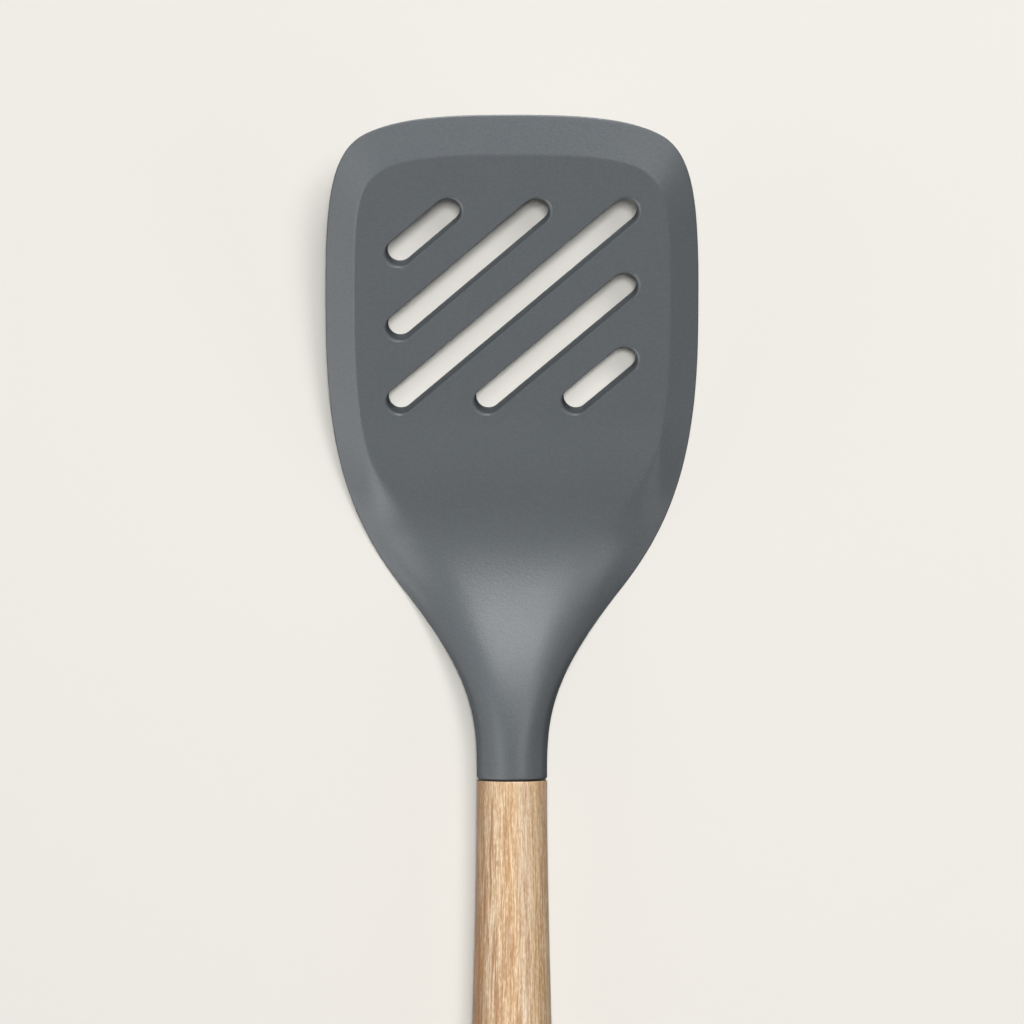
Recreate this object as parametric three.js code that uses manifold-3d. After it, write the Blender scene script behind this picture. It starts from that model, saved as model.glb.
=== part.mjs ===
// Slotted turner: a stiff core inside a soft silicone head, with a ribbed tang bonded into a turned
// wooden handle. It lies face up, on the heel of the blade and the belly of the handle.
// Millimetres, Z up, the table at z = 0, the blade towards +Y. Lengths along Y start at the joint.
import * as THREE from 'three';
import { mergeVertices } from 'three/addons/utils/BufferGeometryUtils.js';
import Module from 'manifold-3d';

const wasm = await Module();
wasm.setup();
const { clamp, degToRad, lerp, smoothstep } = THREE.MathUtils;

// Space left around a piece that is moulded or bonded inside another
const FIT_GAP = 0.3;

// Head seen from above: length from the joint, widest place, front corner and shoulder,
// and how far each curve is pulled along its end tangents
const HEAD_LENGTH = 168.6;
const HEAD_HALF_WIDTH = 47.5;
const WIDEST_AT = 115.6;
const CORNER_IN = 10.9;
const CORNER_BACK = 4.5;
const CORNER_TURN = degToRad(24.7);
const FRONT_CROWN = 15;
const CORNER_PULL_FRONT = 9.8;
const CORNER_PULL_SIDE = 10.9;
const SIDE_PULL_FRONT = 30.7;
const SIDE_PULL_BACK = 32.9;
const SHOULDER_HALF_WIDTH = 27.9;
const SHOULDER_AT = 48.5;
const SHOULDER_TURN = degToRad(38.7);
const SHOULDER_PULL_FRONT = 21.4;
const SHOULDER_PULL_BACK = 27.5;
const COLLAR_LENGTH = 2;
const COLLAR_PULL = 15;
const COLLAR_R = 9;

// Head seen from the side: places along its length where each face starts and ends its change of height
const BLADE_TILT = degToRad(18);
const BLADE_TAPER = degToRad(0.6);
const HEEL_AT = 66;
const HEEL_ROUND = 14;
const HEEL_THICK = 5.4;
const EDGE_THICK = 1;
const RAMP_TOP = 6;
const RAMP_FOOT = 72;
const RAMP_SKEW = 1.4;
const SWELL = 0.9;
const SWELL_AT = 77;
const SWELL_REACH = 17;
const KEEL_TOP = 8;
const KEEL_FOOT = 46;
const RIM_RISE_TOP = 18;
const RIM_RISE_FOOT = 53;

// Sections of the head: bevelled on the blade, with a crease that softens towards the shoulder, arched
// along the neck and round at the collar
const BEVEL_FRONT = 10.2;
const BEVEL_SIDE = 7.3;
const BEVEL_TURN = degToRad(53);
const CREASE_ROUND = 0.4;
const SHOULDER_ROUND = 8;
const CRISP_FROM = 84;
const CRISP_UNTIL = 74;
const BEVEL_FROM = 76;
const ARCH_UNTIL = 40;
const ARCH_FROM = 37;
const ARCH_POWER = 4;

// Slots, on the blade: a rectangle holds the centres of their ends, from behind the front edge to before
// the heel, and the outermost slots cross a short run of it. They widen upwards by their draft
const SLOT_COUNT = 5;
const SLOT_WIDTH = 6.35;
const SLOTS_FROM_SIDE = 19.1;
const SLOTS_FROM_FRONT = 23.9;
const SLOTS_FROM_HEEL = 34.5;
const SHORT_SLOT_RUN = 12;
const SLOT_DRAFT = degToRad(5);
const SLOT_RIM_SIDE = 0.3;
const SLOT_RIM_END = 1.1;
const SLOT_RIM_DEPTH = 0.8;
const SLOT_RIM_UNDER = 0.3;

// Core inside the head, and the silicone over it
const SKIN_BLADE = 0.8;
const SKIN_NECK = 1.7;
const SLOT_WALL = 1.3;
const RIM_WIDTH_BLADE = 11.7;
const RIM_WIDTH_NECK = 1.9;
const CORE_NECK_UNTIL = 10;
const CORE_BLADE_FROM = 60;

// Joint
const WASHER_THICK = 0.5;
const WASHER_RECESS = 0.4;
const TANG_R = 4.6;
const TANG_LENGTH = 45;
const TANG_ROOT = 3;
const TANG_RIBS = 4;
const TANG_RIB_HEIGHT = 0.5;
const TANG_RIB_WIDTH = 2;
const ADHESIVE_THICK = 0.8;

// Handle
const HANDLE_LENGTH = 170;
const BELLY_R = 11;
const BELLY_AT = 115;
const BUTT_FULLNESS = 4;
const HANDLE_EDGE = 0.3;
const HANG_HOLE_R = 3.5;
const HANG_HOLE_FROM_END = 15;
const HANG_HOLE_EASE = 1;

// Sizes that follow from these
const AXIS_Z = BELLY_R;
const NECK_TOP = AXIS_Z + COLLAR_R;
const NECK_UNDER = AXIS_Z - COLLAR_R;
const SLOPE = Math.tan(BLADE_TILT);
const UNDER_SLOPE = Math.tan(BLADE_TILT + BLADE_TAPER);
const SLOT_FIELD_HALF = HEAD_HALF_WIDTH - SLOTS_FROM_SIDE;
const SLOT_FIELD_FRONT = (HEAD_LENGTH - HEEL_AT) / Math.cos(BLADE_TILT) - SLOTS_FROM_FRONT;
const TANG_RIB_R = TANG_R + TANG_RIB_HEIGHT;
const ADHESIVE_INNER_R = TANG_RIB_R + FIT_GAP;
const ADHESIVE_OUTER_R = ADHESIVE_INNER_R + ADHESIVE_THICK;
const BORE_R = ADHESIVE_OUTER_R + FIT_GAP;
const BORE_DEPTH = TANG_LENGTH + ADHESIVE_THICK;

// How finely curves are divided
const RINGS = 8;
const CREASE_RING = 5;
const CORE_RING_STEP = 2;
const FRONT_STEPS = 4;
const CORNER_STEPS = 11;
const SIDE_STEPS = 12;
const NECK_STEPS = 10;
const SLOT_END_STEPS = 8;
const SLOT_RIM_STEPS = 3;
const TURNED_STEPS = 40;
const GRIP_STEPS = 6;
const BUTT_STEPS = 9;

// Underside of the head along its middle: flat blade, rounded heel on the table, rising to the collar
function underside(y) {
  const past = y - HEEL_AT;
  const rounded = (UNDER_SLOPE * (past + HEEL_ROUND) ** 2) / (4 * HEEL_ROUND);
  const blade = Math.abs(past) < HEEL_ROUND ? rounded : Math.max(0, UNDER_SLOPE * past);
  return blade + NECK_UNDER * (1 - smoothstep(y, KEEL_TOP, KEEL_FOOT));
}

// Upper side along its middle: flat blade floor, a low swell, then the ramp up to the top of the neck
function upperside(y) {
  const away = Math.min(1, Math.abs(y - SWELL_AT) / SWELL_REACH);
  const swell = SWELL * (1 - away ** 2) ** 2;
  const floor = SLOPE * (y - HEEL_AT) + HEEL_THICK / Math.cos(BLADE_TILT) + swell;
  const down = clamp((y - RAMP_TOP) / (RAMP_FOOT - RAMP_TOP), 0, 1) ** RAMP_SKEW;
  return lerp(NECK_TOP, floor, smoothstep(down, 0, 1));
}

// Middle of the rim: on the blade it lies on the underside, at the collar halfway up
function rimHeight(y) {
  const onBlade = underside(y) + EDGE_THICK / 2;
  return lerp(AXIS_Z, onBlade, smoothstep(y, RIM_RISE_TOP, RIM_RISE_FOOT));
}

// Right half of the head's outline, from the middle of the front edge back to the joint
function outlineCurves() {
  const at = (x, y) => new THREE.Vector2(x, y);
  const along = (point, way, length) => point.clone().addScaledVector(way, length);
  const corner = at(HEAD_HALF_WIDTH - CORNER_IN, HEAD_LENGTH - CORNER_BACK);
  const cornerWay = at(Math.cos(CORNER_TURN), -Math.sin(CORNER_TURN));
  const widest = at(HEAD_HALF_WIDTH, WIDEST_AT);
  const shoulder = at(SHOULDER_HALF_WIDTH, SHOULDER_AT);
  const shoulderWay = at(-Math.sin(SHOULDER_TURN), -Math.cos(SHOULDER_TURN));
  const collar = at(COLLAR_R, WASHER_THICK + COLLAR_LENGTH);
  const front = new THREE.CubicBezierCurve(
    at(0, HEAD_LENGTH),
    at(FRONT_CROWN, HEAD_LENGTH),
    along(corner, cornerWay, -CORNER_PULL_FRONT),
    corner,
  );
  const turn = new THREE.CubicBezierCurve(
    corner,
    along(corner, cornerWay, CORNER_PULL_SIDE),
    at(HEAD_HALF_WIDTH, WIDEST_AT + SIDE_PULL_FRONT),
    widest,
  );
  const side = new THREE.CubicBezierCurve(
    widest,
    at(HEAD_HALF_WIDTH, WIDEST_AT - SIDE_PULL_BACK),
    along(shoulder, shoulderWay, -SHOULDER_PULL_FRONT),
    shoulder,
  );
  const neck = new THREE.CubicBezierCurve(
    shoulder,
    along(shoulder, shoulderWay, SHOULDER_PULL_BACK),
    at(collar.x, collar.y + COLLAR_PULL),
    collar,
  );
  return [
    [front, FRONT_STEPS],
    [turn, CORNER_STEPS],
    [side, SIDE_STEPS],
    [neck, NECK_STEPS],
    [new THREE.LineCurve(collar, at(COLLAR_R, WASHER_THICK)), 1],
  ];
}

// One line from the middle of the head to each point of the outline, with the place of the bevel on it
function headLines() {
  const lines = [];
  for (const [curve, steps] of outlineCurves()) {
    for (let i = lines.length ? 1 : 0; i <= steps; i++) {
      const rim = curve.getPoint(i / steps);
      const along = curve.getTangent(i / steps);
      const middle = new THREE.Vector2(0, Math.min(rim.y, WIDEST_AT));
      const reach = rim.distanceTo(middle);
      const outward = rim.clone().sub(middle).divideScalar(reach);
      const square = Math.abs(outward.cross(along));
      const turned = rim.y > WIDEST_AT ? Math.asin(Math.min(1, along.x)) : 0;
      const bevel = lerp(BEVEL_SIDE, BEVEL_FRONT, smoothstep(turned, 0, BEVEL_TURN)) / square;
      lines.push({ rim, middle, reach, square, crease: Math.max(0, 1 - bevel / reach) });
    }
  }
  return lines;
}

// Share of its drop that the bevel has made, its crease rounded off
function bevelFall({ rim, reach, crease }, share) {
  const wide = lerp(SHOULDER_ROUND, CREASE_ROUND, smoothstep(rim.y, CRISP_UNTIL, CRISP_FROM));
  const soft = Math.min(wide / reach, crease, 1 - crease);
  const past = share - crease;
  const rounded = Math.abs(past) < soft ? (past + soft) ** 2 / (4 * soft) : Math.max(0, past);
  return rounded / (1 - crease);
}

// Share of the drop from the middle to the rim that one section has made
function sectionFall(line, share) {
  const round = 1 - Math.sqrt(1 - share ** 2);
  const neck = lerp(round, share ** ARCH_POWER, smoothstep(line.rim.y, COLLAR_LENGTH, ARCH_FROM));
  return lerp(neck, bevelFall(line, share), smoothstep(line.rim.y, ARCH_UNTIL, BEVEL_FROM));
}

// Point on one face of the head, a share of the way from its middle line to its rim, sunk into it by skin
function headPoint(line, share, upper, skin) {
  const { rim, middle } = line;
  const x = rim.x * share;
  const y = lerp(middle.y, rim.y, share);
  if (!upper) {
    const rise = rimHeight(rim.y) - EDGE_THICK / 2 - underside(rim.y);
    return [x, y, underside(y) + rise * (1 - Math.sqrt(1 - share ** 2)) + skin];
  }
  const drop = upperside(rim.y) - rimHeight(rim.y) - EDGE_THICK / 2;
  return [x, y, upperside(y) - drop * sectionFall(line, share) - skin];
}

// Rings lie even on the blade, with one on the crease of the bevel, and close up towards a round side
function ringShare(line, ring) {
  const inside = (line.crease * ring) / CREASE_RING;
  const beyond = lerp(line.crease, 1, (ring - CREASE_RING) / (RINGS - CREASE_RING));
  const flat = ring > CREASE_RING ? beyond : inside;
  const round = Math.sin((ring / RINGS) * (Math.PI / 2));
  return lerp(round, flat, smoothstep(line.rim.y, ARCH_UNTIL, BEVEL_FROM));
}

// Closed body with the form of the head, taken in from the rim and sunk below both faces
function headForm(inset, skin, ringStep) {
  const lines = headLines();
  const last = lines.length - 1;
  const corners = [];
  for (const side of [1, -1]) {
    const point = (i, ring, upper) => {
      const line = lines[i];
      const most = 1 - inset(line.rim.y) / line.square / line.reach;
      const share = ringShare(line, ring) * most;
      const [x, y, z] = headPoint(line, share, upper, skin(line.rim.y));
      return [side * x, y, z];
    };
    const face = (way, ...points) => {
      const [a, b, c, d] = way * side > 0 ? points : points.toReversed();
      corners.push(...a, ...b, ...c, ...a, ...c, ...d);
    };
    for (let ring = 0; ring < RINGS; ring += ringStep) {
      const next = ring + ringStep;
      for (let i = 0; i < last; i++) {
        for (const upper of [true, false]) {
          const inner = [point(i, ring, upper), point(i + 1, ring, upper)];
          const outer = [point(i + 1, next, upper), point(i, next, upper)];
          face(upper ? 1 : -1, ...inner, ...outer);
        }
      }
      const inner = [point(last, ring, true), point(last, ring, false)];
      const outer = [point(last, next, false), point(last, next, true)];
      face(1, ...inner, ...outer);
    }
    for (let i = 0; i < last; i++) {
      const above = [point(i, RINGS, true), point(i + 1, RINGS, true)];
      const below = [point(i + 1, RINGS, false), point(i, RINGS, false)];
      face(1, ...above, ...below);
    }
  }
  return solidFrom(looseFaces(corners));
}

function looseFaces(corners) {
  const loose = new THREE.BufferGeometry();
  loose.setAttribute('position', new THREE.Float32BufferAttribute(corners, 3));
  return loose;
}

// Solid inside a closed surface, without the triangles that close up to a line
function solidFrom(geometry) {
  geometry.deleteAttribute('normal');
  geometry.deleteAttribute('uv');
  const merged = mergeVertices(geometry);
  const index = merged.index.array;
  const kept = [];
  for (let i = 0; i < index.length; i += 3) {
    const [a, b, c] = index.slice(i, i + 3);
    if (a !== b && b !== c && c !== a) kept.push(a, b, c);
  }
  const mesh = new wasm.Mesh({
    numProp: 3,
    vertProperties: merged.attributes.position.array,
    triVerts: new Uint32Array(kept),
  });
  return new wasm.Manifold(mesh);
}

// Surface turned about the Y axis from its profile of radius and height
function turnedSurface(profile, steps) {
  const points = profile.map(([radius, y]) => new THREE.Vector2(radius, y));
  return new THREE.LatheGeometry(points, steps);
}

function turnedSolid(profile) {
  return solidFrom(turnedSurface(profile, TURNED_STEPS).translate(0, 0, AXIS_Z));
}

// Ends of each slot's centre line on the blade: parallels to the diagonal of the slot field
function slotLines() {
  const slope = (SLOT_FIELD_FRONT - SLOTS_FROM_HEEL) / (2 * SLOT_FIELD_HALF);
  const middle = (SLOT_COUNT - 1) / 2;
  const pitch = (2 * SLOT_FIELD_HALF - SHORT_SLOT_RUN) / middle;
  return Array.from({ length: SLOT_COUNT }, (_, slot) => {
    const shift = (slot - middle) * pitch;
    const end = (x) => [x, SLOTS_FROM_HEEL + (x - shift + SLOT_FIELD_HALF) * slope];
    const left = Math.max(-SLOT_FIELD_HALF, shift - SLOT_FIELD_HALF);
    const right = Math.min(SLOT_FIELD_HALF, shift + SLOT_FIELD_HALF);
    return [end(left), end(right)];
  });
}

// Cutter for one slot, lofted square to the blade through levels: height at a place forward of the heel,
// growth aside and growth at the ends
function slotCutter([start, end], levels) {
  const turn = Math.atan2(end[1] - start[1], end[0] - start[0]);
  const half = Math.hypot(end[0] - start[0], end[1] - start[1]) / 2;
  const [across, forward] = [(start[0] + end[0]) / 2, (start[1] + end[1]) / 2];
  const point = (x, y, height) => [x, y, height(forward + x * Math.sin(turn) + y * Math.cos(turn))];
  const loops = levels.map(([height, aside, ends]) => {
    const loop = [];
    for (const way of [1, -1]) {
      for (let i = 0; i <= SLOT_END_STEPS; i++) {
        const angle = (i / SLOT_END_STEPS - 0.5) * Math.PI;
        const x = way * (half + (SLOT_WIDTH / 2 + ends) * Math.cos(angle));
        const y = way * (SLOT_WIDTH / 2 + aside) * Math.sin(angle);
        loop.push(point(x, y, height));
      }
    }
    return loop;
  });
  const [floor, top] = [loops[0], loops.at(-1)];
  const [floorMiddle, topMiddle] = [levels[0], levels.at(-1)].map(([height]) => point(0, 0, height));
  const corners = [];
  floor.forEach((_, i) => {
    const j = (i + 1) % floor.length;
    for (let level = 0; level + 1 < loops.length; level++) {
      const [low, high] = [loops[level], loops[level + 1]];
      corners.push(...low[i], ...low[j], ...high[j], ...low[i], ...high[j], ...high[i]);
    }
    corners.push(...floorMiddle, ...floor[j], ...floor[i]);
    corners.push(...topMiddle, ...top[i], ...top[j]);
  });
  const cutter = looseFaces(corners);
  cutter.rotateZ(turn);
  cutter.translate(across, forward, 0);
  cutter.rotateX(BLADE_TILT);
  cutter.translate(0, HEEL_AT, 0);
  return solidFrom(cutter);
}

function withSlots(solid, levels) {
  return slotLines().reduce((rest, line) => rest.subtract(slotCutter(line, levels)), solid);
}

// Body of the core, or the room for it in the silicone when nothing is left around it
function coreBody(gap) {
  const blade = (y) => smoothstep(y, CORE_NECK_UNTIL, CORE_BLADE_FROM);
  const inset = (y) => lerp(RIM_WIDTH_NECK, RIM_WIDTH_BLADE, blade(y)) + gap;
  const skin = (y) => lerp(SKIN_NECK, SKIN_BLADE, blade(y)) + gap;
  const margin = SLOT_WALL + gap;
  const levels = [-HEEL_THICK, 2 * HEEL_THICK].map((height) => [() => height, margin, margin]);
  return withSlots(headForm(inset, skin, CORE_RING_STEP), levels);
}

// Levels of a slot through the silicone: eased below, drafted, then a rounded rim that opens to the floor
function slotRim() {
  const waist = HEEL_THICK - SLOT_RIM_DEPTH;
  const draft = (waist - SLOT_RIM_UNDER) * Math.tan(SLOT_DRAFT);
  const rim = [];
  for (let i = 0; i < SLOT_RIM_STEPS; i++) {
    const angle = ((i / SLOT_RIM_STEPS) * Math.PI) / 2;
    const growth = 1 - Math.cos(angle);
    const height = waist + SLOT_RIM_DEPTH * Math.sin(angle);
    rim.push([height, draft + SLOT_RIM_SIDE * growth, draft + SLOT_RIM_END * growth]);
  }
  const [before, last] = rim.slice(-2);
  rim.push(last.map((value, k) => 2 * value - before[k]));
  const under = (above) => (forward) => forward * Math.tan(BLADE_TAPER) + above;
  return [
    [under(-SLOT_RIM_UNDER), 2 * SLOT_RIM_UNDER, 2 * SLOT_RIM_UNDER],
    [under(SLOT_RIM_UNDER), 0, 0],
    ...rim.map(([height, aside, ends]) => [() => height, aside, ends]),
  ];
}

function siliconeHead() {
  const none = () => 0;
  return withSlots(headForm(none, none, 1), slotRim()).subtract(coreBody(0));
}

// Stiff core: slotted plate, neck and ribbed tang
function nylonCore() {
  const profile = [[0, -TANG_LENGTH], [TANG_R, -TANG_LENGTH]];
  for (let rib = TANG_RIBS; rib > 0; rib--) {
    const middle = (-TANG_LENGTH * rib) / (TANG_RIBS + 1);
    const [back, front] = [middle - TANG_RIB_WIDTH / 2, middle + TANG_RIB_WIDTH / 2];
    profile.push([TANG_R, back], [TANG_RIB_R, back], [TANG_RIB_R, front], [TANG_R, front]);
  }
  const root = WASHER_THICK + TANG_ROOT;
  profile.push([TANG_R, root], [0, root]);
  return coreBody(FIT_GAP).add(turnedSolid(profile));
}

// Thin dark ring that closes the joint, set back a little from both surfaces
function jointWasher() {
  const outer = COLLAR_R - WASHER_RECESS;
  const inner = TANG_R + FIT_GAP;
  const ring = [[inner, 0], [outer, 0], [outer, WASHER_THICK], [inner, WASHER_THICK], [inner, 0]];
  return turnedSolid(ring);
}

// Cured cup of adhesive around the tang
function tangAdhesive() {
  return turnedSolid([
    [0, -BORE_DEPTH],
    [ADHESIVE_OUTER_R, -BORE_DEPTH],
    [ADHESIVE_OUTER_R, 0],
    [ADHESIVE_INNER_R, 0],
    [ADHESIVE_INNER_R, -TANG_LENGTH],
    [0, -TANG_LENGTH],
  ]);
}

// Radius of the handle at a distance from the joint: swelling to the belly, then a rounded butt
function handleRadius(distance) {
  if (distance < BELLY_AT) return lerp(COLLAR_R, BELLY_R, smoothstep(distance, 0, BELLY_AT));
  const share = (distance - BELLY_AT) / (HANDLE_LENGTH - BELLY_AT);
  return BELLY_R * Math.sqrt(1 - Math.min(1, share) ** BUTT_FULLNESS);
}

// Hole to hang the turner by, square to the face of the blade, eased where it leaves the handle
function hangingHole() {
  const mouth = HANG_HOLE_R + HANG_HOLE_EASE;
  const surface = handleRadius(HANDLE_LENGTH - HANG_HOLE_FROM_END);
  const half = [
    [HANG_HOLE_R, surface - HANG_HOLE_EASE],
    [mouth, surface],
    [mouth, 2 * surface],
    [0, 2 * surface],
  ];
  const profile = [...half.map(([radius, y]) => [radius, -y]).toReversed(), ...half];
  const hole = turnedSurface(profile, TURNED_STEPS / 2).rotateX(Math.PI / 2);
  return solidFrom(hole.translate(0, HANG_HOLE_FROM_END - HANDLE_LENGTH, AXIS_Z));
}

// Turned handle with a blind bore for the tang
function handle() {
  const profile = [];
  for (let i = BUTT_STEPS; i > 0; i--) {
    const share = Math.sin((i / BUTT_STEPS) * (Math.PI / 2));
    const distance = lerp(BELLY_AT, HANDLE_LENGTH, share);
    profile.push([handleRadius(distance), -distance]);
  }
  for (let i = GRIP_STEPS; i >= 0; i--) {
    const distance = lerp(HANDLE_EDGE, BELLY_AT, i / GRIP_STEPS);
    profile.push([handleRadius(distance), -distance]);
  }
  profile.push([COLLAR_R - HANDLE_EDGE, 0], [BORE_R, 0], [BORE_R, -BORE_DEPTH], [0, -BORE_DEPTH]);
  return turnedSolid(profile).subtract(hangingHole());
}

// The origin is on the table, under the middle of the whole length
const turner = new THREE.Group();
turner.name = 'slotted_turner';

function addPiece(name, solid, look) {
  const { vertProperties, triVerts } = solid.getMesh();
  const geometry = new THREE.BufferGeometry();
  geometry.setAttribute('position', new THREE.BufferAttribute(vertProperties, 3));
  geometry.setIndex(new THREE.BufferAttribute(triVerts, 1));
  geometry.translate(0, (HANDLE_LENGTH - HEAD_LENGTH) / 2, 0);
  geometry.computeVertexNormals();
  const piece = new THREE.Mesh(geometry, new THREE.MeshStandardMaterial(look));
  piece.name = name;
  turner.add(piece);
}

addPiece('silicone_head', siliconeHead(), { color: 0x5e6265, roughness: 0.55, metalness: 0 });
addPiece('nylon_core', nylonCore(), { color: 0x2c2d2f, roughness: 0.5, metalness: 0 });
addPiece('joint_washer', jointWasher(), { color: 0x1c1b1a, roughness: 0.7, metalness: 0 });
addPiece('tang_adhesive', tangAdhesive(), { color: 0xc9b583, roughness: 0.35, metalness: 0 });
addPiece('handle', handle(), { color: 0xc79d6c, roughness: 0.6, metalness: 0 });

export default turner;
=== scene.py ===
"""Looks of a slotted turner: a matte grey silicone head on a turned, oiled wooden handle.

It lies face up on a pale table and is seen from straight above.
"""

import math

import bmesh
import bpy
import numpy as np
from mathutils import Matrix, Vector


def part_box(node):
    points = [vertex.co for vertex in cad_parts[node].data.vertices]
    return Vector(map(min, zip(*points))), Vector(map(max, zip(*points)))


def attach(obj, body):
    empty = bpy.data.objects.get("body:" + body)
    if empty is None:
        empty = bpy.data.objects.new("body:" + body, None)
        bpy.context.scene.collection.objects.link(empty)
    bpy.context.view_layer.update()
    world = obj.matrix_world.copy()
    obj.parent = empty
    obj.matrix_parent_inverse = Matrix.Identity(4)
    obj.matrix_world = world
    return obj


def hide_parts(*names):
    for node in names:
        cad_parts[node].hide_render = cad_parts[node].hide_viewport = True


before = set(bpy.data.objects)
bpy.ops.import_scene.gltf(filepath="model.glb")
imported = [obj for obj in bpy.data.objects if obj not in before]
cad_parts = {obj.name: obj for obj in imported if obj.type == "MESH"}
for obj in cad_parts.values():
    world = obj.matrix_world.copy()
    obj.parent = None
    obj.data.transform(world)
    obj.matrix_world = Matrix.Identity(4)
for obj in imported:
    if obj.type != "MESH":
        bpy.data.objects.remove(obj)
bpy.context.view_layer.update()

# Sizes in millimetres, as the solids have them; lengths along Y start at the joint
MM = 0.001
HEAD_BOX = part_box("silicone_head")
HANDLE_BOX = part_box("handle")
JOINT_Y = HANDLE_BOX[1].y
WASHER_THICK = (HEAD_BOX[0].y - JOINT_Y) / MM
HEAD_LENGTH = (HEAD_BOX[1].y - JOINT_Y) / MM
HEAD_HALF_WIDTH = HEAD_BOX[1].x / MM
HANDLE_LENGTH = (JOINT_Y - HANDLE_BOX[0].y) / MM
BELLY_R = HANDLE_BOX[1].x / MM

# Outline of the head
WIDEST_AT = 115.6
CORNER_IN = 10.9
CORNER_BACK = 4.5
CORNER_TURN = math.radians(24.7)
FRONT_CROWN = 15
CORNER_PULL_FRONT = 9.8
CORNER_PULL_SIDE = 10.9
SIDE_PULL_FRONT = 30.7
SIDE_PULL_BACK = 32.9
SHOULDER_HALF_WIDTH = 27.9
SHOULDER_AT = 48.5
SHOULDER_TURN = math.radians(38.7)
SHOULDER_PULL_FRONT = 21.4
SHOULDER_PULL_BACK = 27.5
COLLAR_LENGTH = 2
COLLAR_PULL = 15
COLLAR_R = 9

# Heights of the head
BLADE_TILT = math.radians(18)
BLADE_TAPER = math.radians(0.6)
HEEL_AT = 66
HEEL_ROUND = 14
HEEL_THICK = 5.4
EDGE_THICK = 1
RAMP_TOP = 6
RAMP_FOOT = 72
RAMP_SKEW = 1.4
SWELL = 0.9
SWELL_AT = 77
SWELL_REACH = 17
KEEL_TOP = 8
KEEL_FOOT = 46
RIM_RISE_TOP = 18
RIM_RISE_FOOT = 53
BEVEL_FRONT = 10.2
BEVEL_SIDE = 7.3
BEVEL_TURN = math.radians(53)
CREASE_ROUND = 0.4
SHOULDER_ROUND = 8
CREASE_WITHIN = 0.8
CRISP_FROM = 88  # fades out over a longer stretch than in the solids
CRISP_UNTIL = 58
BEVEL_FROM = 76
ARCH_UNTIL = 40
ARCH_FROM = 37
ARCH_POWER = 4
EDGE_ROUND = 0.4
COLLAR_ROUND = 0.35

# Slots
SLOT_COUNT = 5
SLOT_WIDTH = 6.35
SLOTS_FROM_SIDE = 19.1
SLOTS_FROM_FRONT = 23.9
SLOTS_FROM_HEEL = 34.5
SHORT_SLOT_RUN = 12
SLOT_DRAFT = math.radians(5)
SLOT_RIM_SIDE = 0.3
SLOT_RIM_END = 1.1
SLOT_RIM_DEPTH = 0.8
SLOT_RIM_UNDER = 0.3
CUTTER_RUNS_ON = 3

# Handle
BELLY_AT = 115
BUTT_FULLNESS = 4
HANDLE_EDGE = 0.3
HANG_HOLE_R = 3.5
HANG_HOLE_FROM_END = 15
HANG_HOLE_EASE = 1

# Heights that follow
AXIS_Z = BELLY_R
NECK_TOP = AXIS_Z + COLLAR_R
NECK_UNDER = AXIS_Z - COLLAR_R
SLOPE = math.tan(BLADE_TILT)
UNDER_SLOPE = math.tan(BLADE_TILT + BLADE_TAPER)

# How finely the surfaces are divided
OUTLINE_STEPS = {"front": 20, "corner": 44, "side": 60, "neck": 54, "collar": 4}
FLOOR_RINGS = 16
CREASE_RINGS = 8
BEVEL_RINGS = 12
EDGE_STEPS = 8
COLLAR_ROUND_STEPS = 4
SLOT_END_STEPS = 28
SLOT_RIM_STEPS = 7
TURNED_STEPS = 128
HANDLE_EDGE_STEPS = 4
GRIP_STEPS = 60
BUTT_STEPS = 40
HANG_HOLE_STEPS = 64
HANG_HOLE_EASE_STEPS = 6
WELD_WITHIN = 1e-5
SLIVER_UNDER = 1e-6
NEXT_TO_NOTHING = 1e-9
SHARP_OVER = math.radians(40)


# Shape of the head


def ease(y, start, end):
    """Smooth step from 0 at start to 1 at end."""
    share = np.clip((y - start) / (end - start), 0, 1)
    return share * share * (3 - 2 * share)


def mix(a, b, share):
    return a + (b - a) * share


def underside(y):
    """Middle of the lower face: flat blade, rounded heel on the table, rising to the collar."""
    past = y - HEEL_AT
    rounded = UNDER_SLOPE * (past + HEEL_ROUND) ** 2 / (4 * HEEL_ROUND)
    blade = np.where(np.abs(past) < HEEL_ROUND, rounded, np.maximum(0, UNDER_SLOPE * past))
    return blade + NECK_UNDER * (1 - ease(y, KEEL_TOP, KEEL_FOOT))


def upperside(y):
    """Middle of the upper face: flat floor of the blade, a low swell, then the ramp up to the neck."""
    away = np.minimum(1, np.abs(y - SWELL_AT) / SWELL_REACH)
    floor = SLOPE * (y - HEEL_AT) + HEEL_THICK / math.cos(BLADE_TILT) + SWELL * (1 - away**2) ** 2
    down = np.clip((y - RAMP_TOP) / (RAMP_FOOT - RAMP_TOP), 0, 1) ** RAMP_SKEW
    return mix(NECK_TOP, floor, ease(down, 0, 1))


def rim_height(y):
    """Middle of the rim: it lies on the underside of the blade and halfway up the collar."""
    return mix(AXIS_Z, underside(y) + EDGE_THICK / 2, ease(y, RIM_RISE_TOP, RIM_RISE_FOOT))


def bezier(points, steps):
    """Points of a cubic curve and its unit tangents, the start left out."""
    p = np.array(points, float)
    t = np.linspace(0, 1, steps + 1)[1:, None]
    left = 1 - t
    at = left**3 * p[0] + 3 * left**2 * t * p[1] + 3 * left * t * t * p[2] + t**3 * p[3]
    way = left**2 * (p[1] - p[0]) + 2 * left * t * (p[2] - p[1]) + t * t * (p[3] - p[2])
    return at, way / np.linalg.norm(way, axis=1, keepdims=True)


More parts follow.
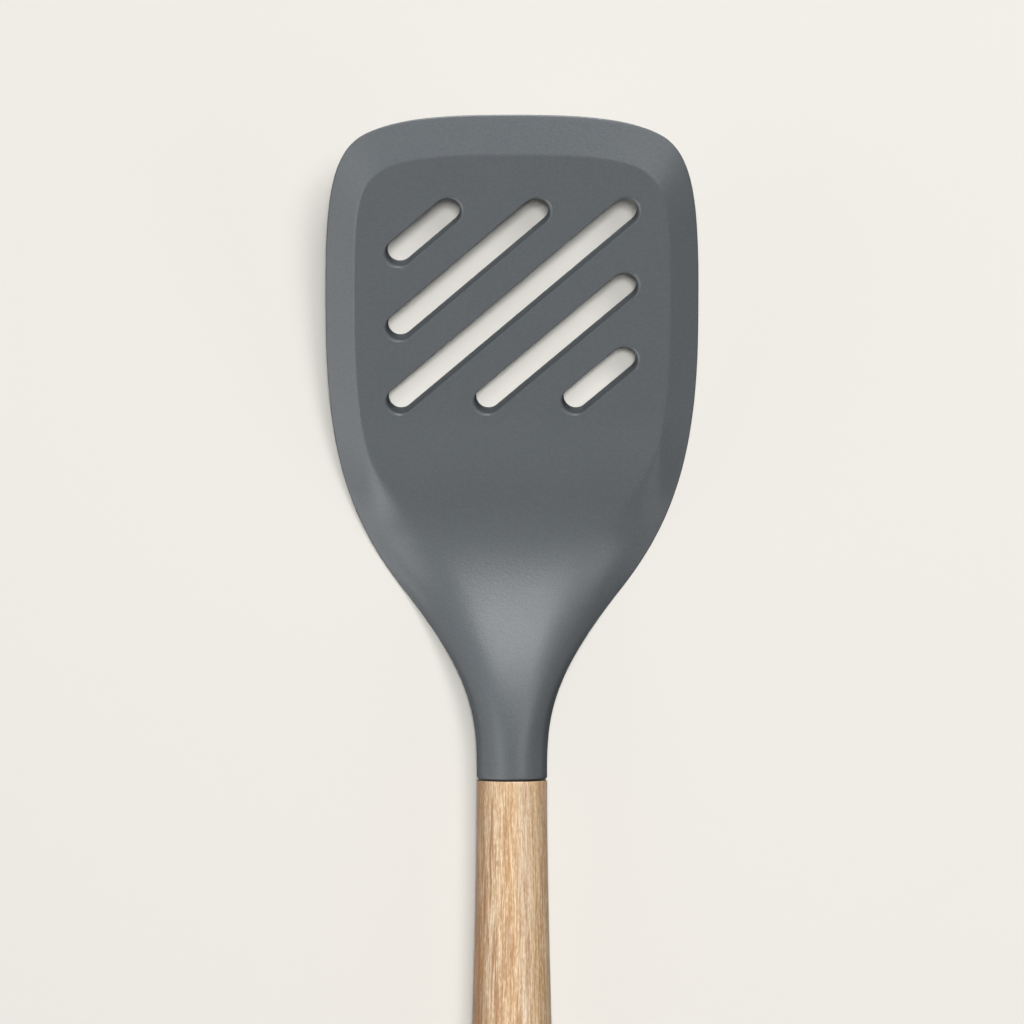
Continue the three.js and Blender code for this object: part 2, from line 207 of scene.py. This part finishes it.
def head_outline():
    """Right half of the outline, from the middle of the front edge back to the joint, with tangents."""
    corner = np.array([HEAD_HALF_WIDTH - CORNER_IN, HEAD_LENGTH - CORNER_BACK])
    corner_way = np.array([math.cos(CORNER_TURN), -math.sin(CORNER_TURN)])
    widest = np.array([HEAD_HALF_WIDTH, WIDEST_AT])
    shoulder = np.array([SHOULDER_HALF_WIDTH, SHOULDER_AT])
    shoulder_way = np.array([-math.sin(SHOULDER_TURN), -math.cos(SHOULDER_TURN)])
    collar = np.array([COLLAR_R, WASHER_THICK + COLLAR_LENGTH])
    end = np.array([COLLAR_R, WASHER_THICK + COLLAR_ROUND])
    ahead = np.array([0, 1])
    front = [
        (0, HEAD_LENGTH),
        (FRONT_CROWN, HEAD_LENGTH),
        corner - corner_way * CORNER_PULL_FRONT,
        corner,
    ]
    turn = [
        corner,
        corner + corner_way * CORNER_PULL_SIDE,
        widest + ahead * SIDE_PULL_FRONT,
        widest,
    ]
    side = [
        widest,
        widest - ahead * SIDE_PULL_BACK,
        shoulder - shoulder_way * SHOULDER_PULL_FRONT,
        shoulder,
    ]
    neck = [
        shoulder,
        shoulder + shoulder_way * SHOULDER_PULL_BACK,
        collar + ahead * COLLAR_PULL,
        collar,
    ]
    straight = [collar, mix(collar, end, 1 / 3), mix(collar, end, 2 / 3), end]
    points, ways = [np.array([[0, HEAD_LENGTH]])], [np.array([[1, 0]])]
    for stretch, steps in zip((front, turn, side, neck, straight), OUTLINE_STEPS.values()):
        at, way = bezier(stretch, steps)
        points.append(at)
        ways.append(way)
    return np.concatenate(points), np.concatenate(ways)


def head_sections():
    """Grid of points of the right half: one row for each place on the outline, each running from the
    middle of the upper face over the rim to the middle of the lower face."""
    rim, way = head_outline()
    rim_x, rim_y = rim[:, :1], rim[:, 1:]
    middle_y = np.minimum(rim_y, WIDEST_AT)
    outward = np.concatenate([rim_x, rim_y - middle_y], axis=1)
    reach = np.linalg.norm(outward, axis=1, keepdims=True)
    outward = outward / reach
    square = np.abs(outward[:, :1] * way[:, 1:] - outward[:, 1:] * way[:, :1])
    turned = np.where(rim_y > WIDEST_AT, np.arcsin(np.minimum(1, way[:, :1])), 0)
    bevel = mix(BEVEL_SIDE, BEVEL_FRONT, ease(turned, 0, BEVEL_TURN)) / square
    on_blade = ease(rim_y, ARCH_UNTIL, BEVEL_FROM)
    last = 1 - EDGE_ROUND / square / reach

    # Rings lie close together at the crease of the bevel, and towards the side of the round neck
    crease = np.maximum(0, 1 - bevel / reach)
    soft = mix(SHOULDER_ROUND, CREASE_ROUND, ease(rim_y, CRISP_UNTIL, CRISP_FROM)) / reach
    soft = np.minimum(np.minimum(soft, crease), 1 - crease)
    inner, outer = crease - soft, np.minimum(crease + soft, mix(crease, last, CREASE_WITHIN))
    floor = np.linspace(0, 1, FLOOR_RINGS + 1)[:-1] * inner
    bend = mix(inner, outer, np.linspace(0, 1, CREASE_RINGS + 1)[:-1])
    slope = mix(outer, last, np.linspace(0, 1, BEVEL_RINGS + 1))
    flat = np.concatenate([floor, bend, slope], axis=1)
    count = flat.shape[1] - 1
    round_share = np.sin(np.arange(count + 1) / count * math.pi / 2) * last
    share = mix(round_share, flat, on_blade)

    y = mix(middle_y, rim_y, share)
    rounded = 1 - np.sqrt(1 - share**2)
    past = share - crease
    bent = (past + soft) ** 2 / np.maximum(4 * soft, NEXT_TO_NOTHING)
    softened = np.where(np.abs(past) < soft, bent, np.maximum(0, past))
    neck = mix(rounded, share**ARCH_POWER, ease(rim_y, COLLAR_LENGTH, ARCH_FROM))
    fall = mix(neck, softened / (1 - crease), on_blade)
    drop = upperside(rim_y) - rim_height(rim_y) - EDGE_THICK / 2
    rise = rim_height(rim_y) - EDGE_THICK / 2 - underside(rim_y)
    top = np.stack([rim_x * share, y, upperside(y) - drop * fall], axis=2)
    under = np.stack([rim_x * share, y, underside(y) + rise * rounded], axis=2)

    # Rounded edge from the last upper ring to the last lower one
    angle = np.linspace(math.pi / 2, -math.pi / 2, EDGE_STEPS + 1)[1:-1]
    high, low = top[:, -1:], under[:, -1:]
    edge = (high + low) / 2 + (high - low) / 2 * np.sin(angle)[None, :, None]
    edge[:, :, :2] += (rim[:, None] - high[:, :, :2]) * np.cos(angle)[None, :, None]
    rows = np.concatenate([top, edge, under[:, ::-1]], axis=1)

    # Rounded end of the collar
    ends = []
    for angle in np.linspace(0, math.pi / 2, COLLAR_ROUND_STEPS + 1)[1:]:
        end = rows[-1].copy()
        end[:, 1] -= COLLAR_ROUND * math.sin(angle)
        shrink = 1 - COLLAR_ROUND * (1 - math.cos(angle)) / COLLAR_R
        end[:, 0] *= shrink
        end[:, 2] = mix(AXIS_Z, end[:, 2], shrink)
        ends.append(end)
    return np.concatenate([rows, np.stack(ends)])


def add_mesh(name, build):
    """Object whose mesh is made by build(bm) in millimetres from the joint."""
    bm = bmesh.new()
    build(bm)
    bmesh.ops.remove_doubles(bm, verts=bm.verts, dist=WELD_WITHIN)
    bmesh.ops.dissolve_degenerate(bm, edges=bm.edges, dist=SLIVER_UNDER)
    bmesh.ops.recalc_face_normals(bm, faces=bm.faces)
    into_place = Matrix.Translation((0, JOINT_Y, 0)) @ Matrix.Scale(MM, 4)
    bmesh.ops.transform(bm, matrix=into_place, verts=bm.verts)
    mesh = bpy.data.meshes.new(name)
    bm.to_mesh(mesh)
    bm.free()
    piece = bpy.data.objects.new(name, mesh)
    bpy.context.scene.collection.objects.link(piece)
    return piece


def add_grid(bm, rows, closed=False):
    """Quads between rows of points; closed joins the last row's end to its start."""
    grid = [[bm.verts.new(point) for point in row] for row in rows]
    for near, far in zip(grid, grid[1:]):
        ends = zip(range(len(near)), range(1, len(near)))
        for i, j in list(ends) + ([(len(near) - 1, 0)] if closed else []):
            bm.faces.new((near[i], near[j], far[j], far[i]))
    return grid


def build_head(bm):
    right = head_sections()
    left = right * (-1, 1, 1)
    rim = [add_grid(bm, half.tolist())[-1] for half in (right, left)]
    bm.faces.new(rim[0] + rim[1][::-1])


def slot_lines():
    """Ends of each slot's centre line on the blade, across and forward from the heel."""
    half = HEAD_HALF_WIDTH - SLOTS_FROM_SIDE
    front = (HEAD_LENGTH - HEEL_AT) / math.cos(BLADE_TILT) - SLOTS_FROM_FRONT
    slope = (front - SLOTS_FROM_HEEL) / (2 * half)
    middle = (SLOT_COUNT - 1) / 2
    pitch = (2 * half - SHORT_SLOT_RUN) / middle
    for slot in range(SLOT_COUNT):
        shift = (slot - middle) * pitch
        across = np.array([max(-half, shift - half), min(half, shift + half)])
        yield np.stack([across, SLOTS_FROM_HEEL + (across - shift + half) * slope], axis=1)


def slot_levels():
    """Height on the blade, how far it follows the taper, and growth aside and at the ends."""
    eased = 2 * SLOT_RIM_UNDER
    taper = math.tan(BLADE_TAPER)
    levels = [(-SLOT_RIM_UNDER, taper, eased, eased), (SLOT_RIM_UNDER, taper, 0, 0)]
    waist = HEEL_THICK - SLOT_RIM_DEPTH
    draft = (waist - SLOT_RIM_UNDER) * math.tan(SLOT_DRAFT)
    for i in range(SLOT_RIM_STEPS):
        angle = i / SLOT_RIM_STEPS * math.pi / 2
        growth = 1 - math.cos(angle)
        height = waist + SLOT_RIM_DEPTH * math.sin(angle)
        levels.append((height, 0, draft + SLOT_RIM_SIDE * growth, draft + SLOT_RIM_END * growth))
    before, last = np.array(levels[-2:])
    return levels + [tuple(last + CUTTER_RUNS_ON * (last - before))]


def build_slots(bm):
    """Bodies that cut the slots, lofted square to the blade."""
    onto_blade = Matrix.Translation((0, HEEL_AT, 0)) @ Matrix.Rotation(BLADE_TILT, 4, "X")
    angle = (np.arange(SLOT_END_STEPS + 1) / SLOT_END_STEPS - 0.5) * math.pi
    for start, end in slot_lines():
        run = end - start
        half = np.linalg.norm(run) / 2
        turn = Matrix.Rotation(math.atan2(run[1], run[0]), 4, "Z")
        place = onto_blade @ Matrix.Translation((*((start + end) / 2), 0)) @ turn
        loops = []
        for height, taper, aside, ends in slot_levels():
            x = half + (SLOT_WIDTH / 2 + ends) * np.cos(angle)
            y = (SLOT_WIDTH / 2 + aside) * np.sin(angle)
            loop = np.concatenate([np.stack([x, y], 1), -np.stack([x, y], 1)])
            forward = (start[1] + end[1]) / 2 + loop @ (run[1], run[0]) / (2 * half)
            loops.append(np.column_stack([loop, height + taper * forward]).tolist())
        grid = add_grid(bm, loops, closed=True)
        bm.faces.new(grid[0])
        bm.faces.new(grid[-1])
        bmesh.ops.transform(bm, matrix=place, verts=[v for loop in grid for v in loop])


def cut(piece, build):
    """Takes the bodies made by build out of a piece and leaves the result as its mesh."""
    cutter = add_mesh("cutter", build)
    taken = piece.modifiers.new("cut", "BOOLEAN")
    taken.object = cutter
    taken.solver = "EXACT"
    shown = piece.evaluated_get(bpy.context.evaluated_depsgraph_get())
    whole = piece.data
    piece.data = bpy.data.meshes.new_from_object(shown)
    piece.data.name = piece.name
    piece.modifiers.clear()
    bpy.data.meshes.remove(whole)
    bpy.data.objects.remove(cutter)


def finish_piece(piece, material, node):
    """Smooth shading with real edges kept, its material, and its place in the frame."""
    piece.data.materials.clear()
    piece.data.materials.append(material)
    piece.data.shade_smooth()
    piece.data.set_sharp_from_angle(angle=SHARP_OVER)
    even = piece.modifiers.new("even_normals", "WEIGHTED_NORMAL")
    even.keep_sharp = True
    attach(piece, "root")
    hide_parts(node)


# Shape of the handle


def handle_radius(distance):
    """Radius at a distance from the joint: swelling to the belly, then a rounded butt."""
    grip = mix(COLLAR_R, BELLY_R, ease(distance, 0, BELLY_AT))
    share = np.clip((distance - BELLY_AT) / (HANDLE_LENGTH - BELLY_AT), 0, 1)
    return np.where(distance < BELLY_AT, grip, BELLY_R * np.sqrt(1 - share**BUTT_FULLNESS))


def turned_rows(profile):
    """Rings of points around the handle's axis from pairs of radius and distance."""
    angle = np.arange(TURNED_STEPS) / TURNED_STEPS * 2 * math.pi
    for radius, distance in profile:
        x, z = radius * np.cos(angle), AXIS_Z + radius * np.sin(angle)
        yield np.stack([x, np.full_like(x, -distance), z], 1).tolist()


def build_handle(bm):
    profile = []
    for angle in np.linspace(0, math.pi / 2, HANDLE_EDGE_STEPS + 1)[:-1]:
        inset = HANDLE_EDGE * (1 - math.sin(angle))
        profile.append((COLLAR_R - inset, HANDLE_EDGE * (1 - math.cos(angle))))
    for distance in np.linspace(HANDLE_EDGE, BELLY_AT, GRIP_STEPS + 1):
        profile.append((float(handle_radius(distance)), distance))
    for share in np.sin(np.linspace(0, math.pi / 2, BUTT_STEPS + 1))[1:]:
        distance = mix(BELLY_AT, HANDLE_LENGTH, share)
        profile.append((float(handle_radius(distance)), distance))
    grid = add_grid(bm, turned_rows(profile), closed=True)
    bm.faces.new(grid[0])


def build_hanging_hole(bm):
    """Body that cuts the hanging hole upright through the handle, with eased edges above and below."""
    surface = float(handle_radius(np.array(HANDLE_LENGTH - HANG_HOLE_FROM_END)))
    half = []
    for angle in np.linspace(0, math.pi / 2, HANG_HOLE_EASE_STEPS + 1):
        growth = 1 - math.cos(angle)
        height = surface - HANG_HOLE_EASE * (1 - math.sin(angle))
        half.append((HANG_HOLE_R + HANG_HOLE_EASE * growth, height))
    half.append((HANG_HOLE_R + HANG_HOLE_EASE, 2 * surface))
    profile = [(radius, -height) for radius, height in half[::-1]] + half
    angle = np.arange(HANG_HOLE_STEPS) / HANG_HOLE_STEPS * 2 * math.pi
    rows = []
    for radius, height in profile:
        x = radius * np.cos(angle)
        y = HANG_HOLE_FROM_END - HANDLE_LENGTH + radius * np.sin(angle)
        rows.append(np.stack([x, y, np.full_like(x, AXIS_Z + height)], 1).tolist())
    grid = add_grid(bm, rows, closed=True)
    bm.faces.new(grid[0])
    bm.faces.new(grid[-1])


# Materials


def colour(code):
    """Linear colour of an sRGB hex value."""
    parts = [int(code[i : i + 2], 16) / 255 for i in (1, 3, 5)]
    return (*(c / 12.92 if c <= 0.04045 else ((c + 0.055) / 1.055) ** 2.4 for c in parts), 1)


def per_mm(size):
    """Texture scale for a pattern of this size in millimetres; object space is in metres."""
    return 1 / (size * MM)


def new_material(name):
    made = bpy.data.materials.new(name)
    made.use_nodes = True
    made.node_tree.nodes.clear()
    return made, made.node_tree


def add(tree, kind, sockets=None, **settings):
    """Adds a node with its settings, and sets or links its input sockets."""
    made = tree.nodes.new("ShaderNode" + kind)
    for name, value in settings.items():
        setattr(made, name, value)
    for socket, value in (sockets or {}).items():
        if isinstance(value, bpy.types.NodeSocket):
            tree.links.new(value, made.inputs[socket])
        else:
            made.inputs[socket].default_value = value
    return made


def spread(tree, value, between, onto):
    """Value stretched from one range onto another, and held at its ends."""
    limits = {"From Min": between[0], "From Max": between[1], "To Min": onto[0], "To Max": onto[1]}
    return add(tree, "MapRange", {"Value": value, **limits}).outputs["Result"]


def layer(tree, share, below, above):
    """Colour above laid over the one below by a share."""
    sockets = {"Factor": share, "A": below, "B": above}
    return add(tree, "Mix", sockets, data_type="RGBA").outputs["Result"]


def shades(tree, value, stops):
    """Colour between pairs of position and colour code."""
    ramp = add(tree, "ValToRGB", {"Fac": value})
    stages = ramp.color_ramp.elements
    for index, (position, code) in enumerate(stops):
        stage = stages[index] if index < 2 else stages.new(position)
        stage.position, stage.color = position, colour(code)
    return ramp.outputs["Color"]


def cover(tree, kind, sockets):
    """Makes this shader the surface of the material."""
    skin = add(tree, kind, sockets)
    add(tree, "OutputMaterial", {"Surface": skin.outputs["BSDF"]})


def moulded_silicone():
    """Food-grade silicone from a lightly blasted mould: a dull, soft sheen with a very fine grain."""
    made, tree = new_material("moulded_grey_silicone")
    place = add(tree, "TexCoord").outputs["Object"]

    # The grain is drawn coarser than a blasted mould's, which is finer than the picture shows
    fine = {"Vector": place, "Scale": per_mm(0.55), "Detail": 2, "Roughness": 0.6}
    wide = {"Vector": place, "Scale": per_mm(14), "Detail": 3, "Roughness": 0.5}
    grain = add(tree, "TexNoise", fine).outputs["Fac"]
    cloud = add(tree, "TexNoise", wide).outputs["Fac"]
    bump = add(tree, "Bump", {"Strength": 0.8, "Distance": 0.06 * MM, "Height": grain})

    # Its dry, dusty face has no glancing shine, so steep sides stay dark
    turned_away = add(tree, "LayerWeight", {"Blend": 0.5}).outputs["Facing"]
    skin = {
        "Base Color": layer(tree, grain, colour("#4D5154"), colour("#606467")),
        "Roughness": spread(tree, cloud, (0.3, 0.7), (0.34, 0.38)),
        "IOR": 1.41,
        "Specular IOR Level": spread(tree, turned_away, (0.22, 0.5), (0.5, 0)),
        "Normal": bump.outputs["Normal"],
    }
    cover(tree, "BsdfPrincipled", skin)
    return made


def oiled_wood():
    """Open-pored hardwood, turned, sanded and oiled: short pale and brown fibres along the handle,
    longer dark streaks and pores, and bands from brown heartwood to honey and tan, with a low sheen.
    The bands darken towards both sides of the handle, partly as painted shade of its round sides."""
    made, tree = new_material("turned_oiled_hardwood")
    place = add(tree, "TexCoord").outputs["Object"]

    def move(operation, sockets):
        return add(tree, "VectorMath", sockets, operation=operation).outputs["Vector"]

    def along_grain(where, wide, drawn_out, detail):
        """Noise of this width in millimetres across the grain, drawn out along it."""
        drawn = add(tree, "Mapping", {"Vector": where, "Scale": (1, 1 / drawn_out, 1)})
        noise = {"Vector": drawn.outputs["Vector"], "Scale": per_mm(wide), "Detail": detail}
        return add(tree, "TexNoise", noise).outputs

    def both(first, second):
        return add(tree, "Math", {0: first, 1: second}, operation="MULTIPLY").outputs["Value"]

    # The grain wanders a little aside along the handle
    wander = along_grain(place, wide=20, drawn_out=4, detail=0)["Color"]
    aside = move("SUBTRACT", {0: wander, 1: (0.5, 0.5, 0.5)})
    aside = move("SCALE", {0: aside, "Scale": 2 * MM})
    grain = move("ADD", {0: place, 1: aside})

    # Bands from one side of the handle to the other; the darker first and last stops are partly
    # painted shade of the handle's round sides, besides the brown heartwood on one side
    heartwood, tan, honey, sapwood, brown = "#6F5030", "#B29A79", "#C5A379", "#D1BB9E", "#9F7E53"
    side = BELLY_R * MM
    across = add(tree, "SeparateXYZ", {"Vector": grain}).outputs["X"]
    bands = shades(
        tree,
        spread(tree, across, (-side, side), (0, 1)),
        [(0.1, heartwood), (0.26, tan), (0.5, honey), (0.64, sapwood), (0.78, honey), (0.95, brown)],
    )
    in_heartwood = spread(tree, across, (-0.7 * side, 0), (0.8, 0.25))
    off_heartwood = spread(tree, across, (-0.9 * side, -0.5 * side), (0.3, 1))

    def lay_fibres(below, noise, reach, browner, paler):
        """Brown and cream fibres over the colour below, with fewer cream ones in the heartwood."""
        middle = 0.5
        brown_share = spread(tree, noise, (middle, middle - reach), (0, browner))
        cream_share = both(spread(tree, noise, (middle, middle + reach), (0, paler)), off_heartwood)
        browned = layer(tree, brown_share, below, colour("#A06E3C"))
        return layer(tree, cream_share, browned, colour("#F4E2C8"))

    # Fibres are drawn wider than real ones, which are finer than the picture shows
    streak = along_grain(grain, wide=1.4, drawn_out=26, detail=2)["Fac"]
    fibre = along_grain(grain, wide=0.32, drawn_out=34, detail=2)["Fac"]
    fleck = along_grain(grain, wide=0.3, drawn_out=5, detail=1)["Fac"]
    vein = along_grain(grain, wide=0.7, drawn_out=45, detail=1)["Fac"]
    pore = along_grain(grain, wide=0.4, drawn_out=9, detail=1)["Fac"]
    toned = lay_fibres(bands, streak, reach=0.2, browner=0.5, paler=0.35)
    toned = lay_fibres(toned, fibre, reach=0.22, browner=0.6, paler=0.5)
    toned = lay_fibres(toned, fleck, reach=0.25, browner=0.38, paler=0.32)
    veined = both(spread(tree, vein, (0.54, 0.61), (0, 1)), in_heartwood)
    toned = layer(tree, veined, toned, colour("#84552F"))
    pored = spread(tree, pore, (0.68, 0.76), (0, 0.5))
    toned = layer(tree, pored, toned, colour("#7A5233"))
    bump = add(tree, "Bump", {"Strength": 0.15, "Distance": 0.08 * MM, "Height": fibre})
    skin = {"Base Color": toned, "Roughness": 0.5, "IOR": 1.5, "Normal": bump.outputs["Normal"]}
    cover(tree, "BsdfPrincipled", skin)
    return made


def plain_moulding(name, code, roughness, ior):
    """Smooth moulded or cured piece with a faint unevenness, mostly hidden inside the turner."""
    made, tree = new_material(name)
    place = add(tree, "TexCoord").outputs["Object"]
    cloud = add(tree, "TexNoise", {"Vector": place, "Scale": per_mm(3), "Detail": 2}).outputs["Fac"]
    bump = add(tree, "Bump", {"Strength": 0.15, "Distance": 0.05 * MM, "Height": cloud})
    skin = {
        "Base Color": colour(code),
        "Roughness": roughness,
        "IOR": ior,
        "Normal": bump.outputs["Normal"],
    }
    cover(tree, "BsdfPrincipled", skin)
    return made


def seen(tree):
    """1 for rays from the camera, straight or by way of a shine or clear piece, 0 for stray light."""
    ray = add(tree, "LightPath").outputs
    found = ray["Is Camera Ray"]
    for kind in ("Is Glossy Ray", "Is Transmission Ray"):
        found = add(tree, "Math", {0: found, 1: ray[kind]}, operation="MAXIMUM").outputs["Value"]
    return found


def table_paint():
    """Pale matte paint that throws little light back under the turner."""
    made, tree = new_material("pale_matte_table")
    tint = layer(tree, seen(tree), colour("#77756F"), colour("#F3F0E9"))
    cover(tree, "BsdfDiffuse", {"Color": tint})
    return made


# Pieces
head = add_mesh("turner_head", build_head)
cut(head, build_slots)
finish_piece(head, moulded_silicone(), "silicone_head")

grip = add_mesh("turned_handle", build_handle)
cut(grip, build_hanging_hole)
finish_piece(grip, oiled_wood(), "handle")

kept_nodes = {
    "nylon_core": plain_moulding("moulded_black_nylon", "#2C2D2F", roughness=0.45, ior=1.53),
    "joint_washer": plain_moulding("black_rubber_ring", "#1C1B1A", roughness=0.6, ior=1.5),
    "tang_adhesive": plain_moulding("cured_epoxy", "#C9B583", roughness=0.25, ior=1.55),
}
for node, material in kept_nodes.items():
    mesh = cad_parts[node].data
    mesh.materials.clear()
    mesh.materials.append(material)

# Table, in metres
TABLE_SIZE = 4
edge = TABLE_SIZE / 2
corners = [(-edge, -edge, 0), (edge, -edge, 0), (edge, edge, 0), (-edge, edge, 0)]
table_mesh = bpy.data.meshes.new("table")
table_mesh.from_pydata(corners, [], [(0, 1, 2, 3)])
table_mesh.materials.append(table_paint())
table = bpy.data.objects.new("table", table_mesh)
bpy.context.scene.collection.objects.link(table)


# Light and camera, in metres
LAMP_DISTANCE = 2.5
SKY_STRENGTH = 0.01

# Azimuth in degrees from the front edge's side to the left, elevation, size and watts
TABLE_LAMPS = {
    "shadow_box": (-37, 71, 0.9, 25),
    "overhead_box": (-37, 89.2, 0.22, 34),
    "left_fill_box": (80, 25, 1.6, 4.5),
    "right_fill_box": (-100, 25, 1.6, 4.5),
}
TURNER_LAMPS = {
    "low_front_box": (0, 12, 1.1, 70),
    "front_box": (0, 36, 1.1, 24),
    "high_front_box": (0, 48, 1.1, 20),
    "right_front_box": (-30, 60, 1.1, 11.5),
    "right_box": (-90, 60, 1.1, 12),
    "right_back_box": (-135, 18, 1.1, 8),
    "left_back_box": (150, 24, 1.1, 24),
    "low_left_box": (120, 12, 1.1, 14),
    "high_left_box": (120, 48, 1.1, 17),
    "left_box": (85, 60, 0.8, 3),
}


def softbox(name, azimuth, elevation, size, watts):
    """Square lamp aimed at the blade, placed by the direction it shines from."""
    lamp = bpy.data.lights.new(name, "AREA")
    lamp.shape = "SQUARE"
    lamp.size = size
    lamp.energy = watts
    box = bpy.data.objects.new(name, lamp)
    aim = Matrix.Translation((0, JOINT_Y + WIDEST_AT * MM, 0))
    aside = Matrix.Rotation(math.radians(azimuth), 4, "Z")
    down = Matrix.Rotation(math.radians(elevation - 90), 4, "X")
    box.matrix_world = aim @ aside @ down @ Matrix.Translation((0, 0, LAMP_DISTANCE))
    bpy.context.scene.collection.objects.link(box)
    return box


def light_only(pieces, name, lamps):
    """Sets up lamps that light these pieces and no others."""
    lit = bpy.data.collections.new(name)
    for piece in pieces:
        lit.objects.link(piece)
    for lamp, values in lamps.items():
        softbox(lamp, *values).light_linking.receiver_collection = lit


# Low boxes model the turner, high ones give the table its even tone and one soft shadow
light_only([table], "lit_table", TABLE_LAMPS)
light_only([head, grip, *(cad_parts[node] for node in kept_nodes)], "lit_turner", TURNER_LAMPS)

world = bpy.data.worlds.new("studio")
world.use_nodes = True
sky = world.node_tree.nodes["Background"].inputs
sky["Color"].default_value = colour("#F4F1EA")
sky["Strength"].default_value = SKY_STRENGTH
bpy.context.scene.world = world

# The picture is 1024 pixels wide; at the handle's axis one millimetre is about 3.9 of them
PICTURE_PIXELS = 1024
FOCAL_PIXELS = 4850
CAMERA_HEIGHT = 1.2546
CAMERA_FROM_JOINT = 0.0687
camera = bpy.data.cameras.new("camera")
camera.lens = camera.sensor_width * FOCAL_PIXELS / PICTURE_PIXELS
viewer = bpy.data.objects.new("camera", camera)
viewer.location = (0, JOINT_Y + CAMERA_FROM_JOINT, CAMERA_HEIGHT)
bpy.context.scene.collection.objects.link(viewer)
bpy.context.scene.camera = viewer
bpy.context.scene.view_settings.view_transform = "Standard"
